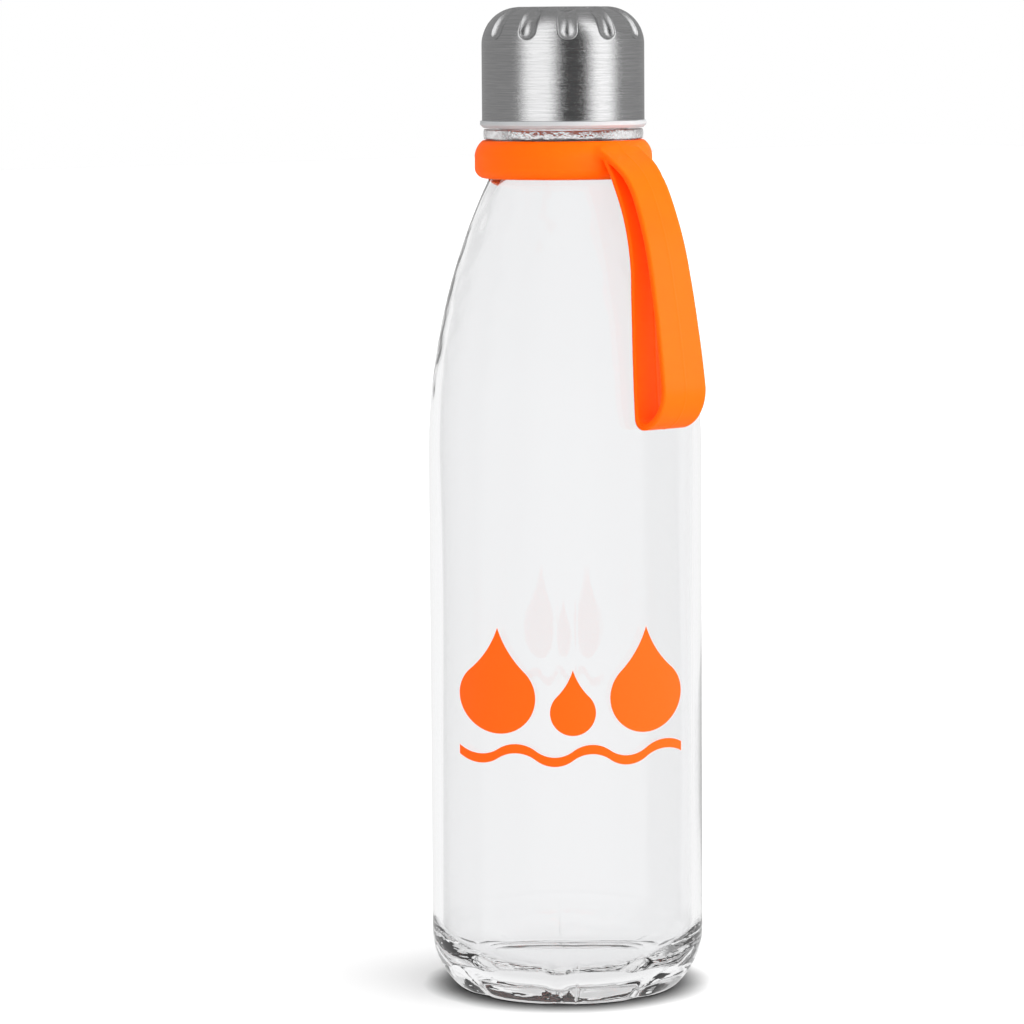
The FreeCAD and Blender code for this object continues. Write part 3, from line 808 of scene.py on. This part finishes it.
def steel_material():
    """Turned steel: fine lines round the axis, so that highlights spread along it."""
    material, tree, shader = material_tree("brushed_steel")
    fine = noise(tree, round_place(tree, 3.0, 6500.0), 1.0, 4.0, 0.75)
    broad = noise(tree, round_place(tree, 0.9, 2600.0), 1.0, 2.0, 0.6)
    both = sums(tree, "ADD", sums(tree, "MULTIPLY", fine, 0.7), sums(tree, "MULTIPLY", broad, 0.3))
    set_shader(shader, Metallic=1.0, Anisotropic=0.9, Anisotropic_Rotation=0.25)
    round_axis = add(tree, "ShaderNodeTangent", direction_type="RADIAL", axis="Z")
    tree.links.new(round_axis.outputs["Tangent"], shader.inputs["Tangent"])
    shade = ranged(tree, both, 0.32, 0.68, 0.0, 1.0)
    paint(tree, shader, shade, (0.50, 0.50, 0.505), (0.72, 0.72, 0.725), fine, (0.13, 0.23))
    tree.links.new(bump(tree, both, 0.00005), shader.inputs["Normal"])
    return material


def silicone_material():
    """Satin rubber, a little cloudy, with some light passing through it (subsurface) and a faint painted
    glow (emission) on top.
    """
    material, tree, shader = material_tree("orange_silicone")
    cloud = noise(tree, place(tree), 60.0, 3.0)
    grain = noise(tree, place(tree), 2600.0, 2.0)
    # the emission is a painted orange glow: the rubber gives off light of its own though it is no lamp
    set_shader(shader, Subsurface_Weight=0.2, Subsurface_Radius=(1.0, 0.3, 0.1), Subsurface_Scale=0.0025,
               Specular_IOR_Level=0.06, Emission_Color=(1.0, 0.07, 0.001, 1), Emission_Strength=0.08)
    paint(tree, shader, cloud, (0.99, 0.108, 0.001), (1.0, 0.122, 0.002), grain, (0.38, 0.5))
    tree.links.new(bump(tree, grain, 0.00002), shader.inputs["Normal"])
    return material


def liner_material():
    """Translucent natural plastic with an uneven surface."""
    material, tree, shader = material_tree("liner_plastic")
    cloud = noise(tree, place(tree), 300.0, 3.0)
    set_shader(shader, Subsurface_Weight=0.5, Subsurface_Radius=(1.0, 1.0, 1.0), Subsurface_Scale=0.004)
    paint(tree, shader, cloud, (0.40, 0.41, 0.42), (0.46, 0.47, 0.48), cloud, (0.32, 0.45))
    tree.links.new(bump(tree, noise(tree, place(tree), 900.0), 0.00003), shader.inputs["Normal"])
    return material


def seal_material():
    """White silicone with a fine grain."""
    material, tree, shader = material_tree("seal_silicone")
    grain = noise(tree, place(tree), 1500.0, 2.0)
    set_shader(shader, Subsurface_Weight=0.3, Subsurface_Scale=0.002)
    paint(tree, shader, grain, (0.82, 0.82, 0.80), (0.9, 0.9, 0.88), grain, (0.45, 0.6))
    return material


def ink_material():
    """Fired enamel with a fine speckle; its flat, even colour comes partly from a painted glow
    (emission), not from the lamps.
    """
    material, tree, shader = material_tree("orange_ink")
    speckle = noise(tree, place(tree), 1800.0, 3.0)
    # the emission is a painted orange glow that evens out the ink's shading and shows it from behind
    set_shader(shader, Specular_IOR_Level=0.1, Emission_Color=(1.0, 0.115, 0.005, 1),
               Emission_Strength=0.5)
    paint(tree, shader, speckle, (0.9, 0.058, 0.001), (0.95, 0.070, 0.002), speckle, (0.3, 0.42))
    tree.links.new(bump(tree, speckle, 0.00001), shader.inputs["Normal"])
    return material


def dress(obj, material):
    obj.data.materials.clear()
    obj.data.materials.append(material)


# ---------------------------------------------------------------- stage, lights and camera

CAMERA_ANGLE = math.radians(-40.0)
CAMERA_DISTANCE = 1.12
CAMERA_HEIGHT = 0.25
CAMERA_LENS = 151.0
AIM_HEIGHT = 0.1254
AIM_LEFT = 0.0140
CAMERA_ROLL = math.radians(-0.39)
FLOOR_REACH = 6.0
FLOOR_SHADE = (0.89, 0.89, 0.89, 1)
# reach of the floor's painted contact shadow
PAINTED_SHADOW_REACH = 0.0075
SUN_ENERGY = 1.5
SUN_SPREAD = math.radians(60)
SUN_HEIGHT = math.radians(78)
SUN_COMPASS = math.radians(25)

# The studio's walls for each kind of ray: a brightness, and strips over it, each with
# its compass middle, half width and softness in degrees and its brightness.
MIRRORED_WALL = 0.33
MIRRORED_STRIPS = [(-25.0, 24.4, 0.6, 0.09), (-74.5, 25.1, 0.6, 1.35), (18.7, 19.3, 0.6, 1.45)]
BENT_WALL = 1.0
BENT_STRIPS = [(25.0, 30.0, 14.0, 0.75), (211.0, 28.0, 4.0, 0.36)]
SCATTERED_WALL = 0.84
SCATTERED_STRIPS = [(30.0, 50.0, 20.0, 5.8)]
SHARP_WALL = 0.85

# How strips or walls change with a direction's rise: from, to, and the share at each.
MIRRORED_RAMP = (0.85, 1.0, 1.0, 0.0)
BENT_RAMPS = [(0.10, 0.30, 1.0, 0.7), (-0.8, -0.4, 0.85, 1.0)]
SCATTERED_RAMP = (0.3, 0.5, 1.0, 0.0)


def build_floor():
    """A plain pale floor with a painted contact shadow: an occlusion node darkens its colour close to
    the base.
    """
    mesh = bpy.data.meshes.new("floor")
    corners = [(x * FLOOR_REACH, y * FLOOR_REACH, 0) for x, y in ((-1, -1), (1, -1), (1, 1), (-1, 1))]
    mesh.from_pydata(corners, [], [(0, 1, 2, 3)])
    floor = bpy.data.objects.new("floor", mesh)
    bpy.context.scene.collection.objects.link(floor)
    material = bpy.data.materials.new("floor")
    material.use_nodes = True
    tree = material.node_tree
    tree.nodes.clear()
    # painted contact shadow: the occlusion node darkens the floor's colour near the bottle
    painted_shadow = add(tree, "ShaderNodeAmbientOcclusion", {
        "Color": FLOOR_SHADE, "Distance": PAINTED_SHADOW_REACH,
    })
    diffuse = add(tree, "ShaderNodeBsdfDiffuse", {"Color": painted_shadow.outputs["Color"]})
    add(tree, "ShaderNodeOutputMaterial", {"Surface": diffuse.outputs[0]})
    dress(floor, material)
    floor.visible_glossy = False
    floor.visible_transmission = False


def build_world():
    """White behind the bottle, and a studio of grey walls for what it reflects and bends."""
    world = bpy.data.worlds.new("studio")
    bpy.context.scene.world = world
    world.use_nodes = True
    tree = world.node_tree
    tree.nodes.clear()
    direction = add(tree, "ShaderNodeTexCoord").outputs["Generated"]
    parts = add(tree, "ShaderNodeSeparateXYZ", {"Vector": direction})
    angle = sums(tree, "ARCTAN2", parts.outputs["Y"], parts.outputs["X"])
    degrees = sums(tree, "MULTIPLY", angle, 180 / math.pi)

    def band(middle, half, soft):
        """1 inside a strip of directions around that compass angle, 0 outside."""
        away = sums(tree, "WRAP", sums(tree, "SUBTRACT", degrees, middle), 180.0)
        away.node.inputs[2].default_value = -180.0
        off = sums(tree, "ABSOLUTE", away)
        return ranged(tree, off, half - soft, half + soft, 1.0, 0.0)

    def level(base, strips, lasting=None):
        """Brightness: base, then each strip (middle, half, soft, brightness) over it."""
        value = base
        for middle, half, soft, shade in strips:
            share = band(middle, half, soft)
            if lasting is not None:
                share = sums(tree, "MULTIPLY", share, lasting)
            value = add(tree, "ShaderNodeMix", {0: share, 2: value, 3: shade}).outputs[0]
        return value

    rise = parts.outputs["Z"]
    mirrored = level(MIRRORED_WALL, MIRRORED_STRIPS, ranged(tree, rise, *MIRRORED_RAMP))
    bent = level(BENT_WALL, BENT_STRIPS)
    for ramp in BENT_RAMPS:
        bent = sums(tree, "MULTIPLY", bent, ranged(tree, rise, *ramp))
    scattered = level(SCATTERED_WALL, SCATTERED_STRIPS, ranged(tree, rise, *SCATTERED_RAMP))
    path = add(tree, "ShaderNodeLightPath")
    value = scattered
    for flag, shade in (
        ("Is Glossy Ray", mirrored),
        ("Is Singular Ray", SHARP_WALL),
        ("Is Transmission Ray", bent),
        ("Is Camera Ray", 1.0),
    ):
        value = add(tree, "ShaderNodeMix", {0: path.outputs[flag], 2: value, 3: shade}).outputs[0]
    sky = add(tree, "ShaderNodeBackground", {"Color": (1, 1, 1, 1), "Strength": value})
    add(tree, "ShaderNodeOutputWorld", {"Surface": sky.outputs[0]})


def build_lights():
    """One broad overhead light; the softboxes are strips of the studio's walls."""
    light = bpy.data.lights.new("overhead", "SUN")
    light.energy = SUN_ENERGY
    light.angle = SUN_SPREAD
    lamp = bpy.data.objects.new("overhead", light)
    bpy.context.scene.collection.objects.link(lamp)
    out = math.cos(SUN_HEIGHT)
    source = Vector((
        out * math.cos(SUN_COMPASS), out * math.sin(SUN_COMPASS), math.sin(SUN_HEIGHT),
    ))
    lamp.location = source
    lamp.rotation_euler = (-source).to_track_quat("-Z", "Y").to_euler()
    lamp.visible_glossy = False
    lamp.visible_transmission = False


def build_camera():
    data = bpy.data.cameras.new("camera")
    data.lens = CAMERA_LENS
    data.sensor_width = 36.0
    camera = bpy.data.objects.new("camera", data)
    bpy.context.scene.collection.objects.link(camera)
    out = Vector((math.cos(CAMERA_ANGLE), math.sin(CAMERA_ANGLE), 0))
    right = Vector((-math.sin(CAMERA_ANGLE), math.cos(CAMERA_ANGLE), 0))
    camera.location = out * CAMERA_DISTANCE + Vector((0, 0, CAMERA_HEIGHT))
    aim = Vector((0, 0, AIM_HEIGHT)) - right * AIM_LEFT
    look = (aim - camera.location).to_track_quat("-Z", "Y").to_euler()
    look.rotate_axis("Z", CAMERA_ROLL)
    camera.rotation_euler = look
    bpy.context.scene.camera = camera


# ---------------------------------------------------------------- assembly

glass = build_glass()
dress(glass, glass_material())
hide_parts("glass_bottle")
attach(glass, "bottle")

cap = build_cap()
dress(cap, steel_material())
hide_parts("cap_shell")
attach(cap, "cap")

silicone = build_silicone()
dress(silicone, silicone_material())
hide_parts("neck_ring", "carry_loop")
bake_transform(silicone)

dress(nodes["front_print"], ink_material())
dress(nodes["cap_liner"], liner_material())
dress(nodes["cap_seal"], seal_material())

build_floor()
build_world()
build_lights()
build_camera()
studio = bpy.context.scene
studio.view_settings.view_transform = "Standard"
studio.cycles.max_bounces = 32
studio.cycles.glossy_bounces = 24
studio.cycles.transmission_bounces = 24
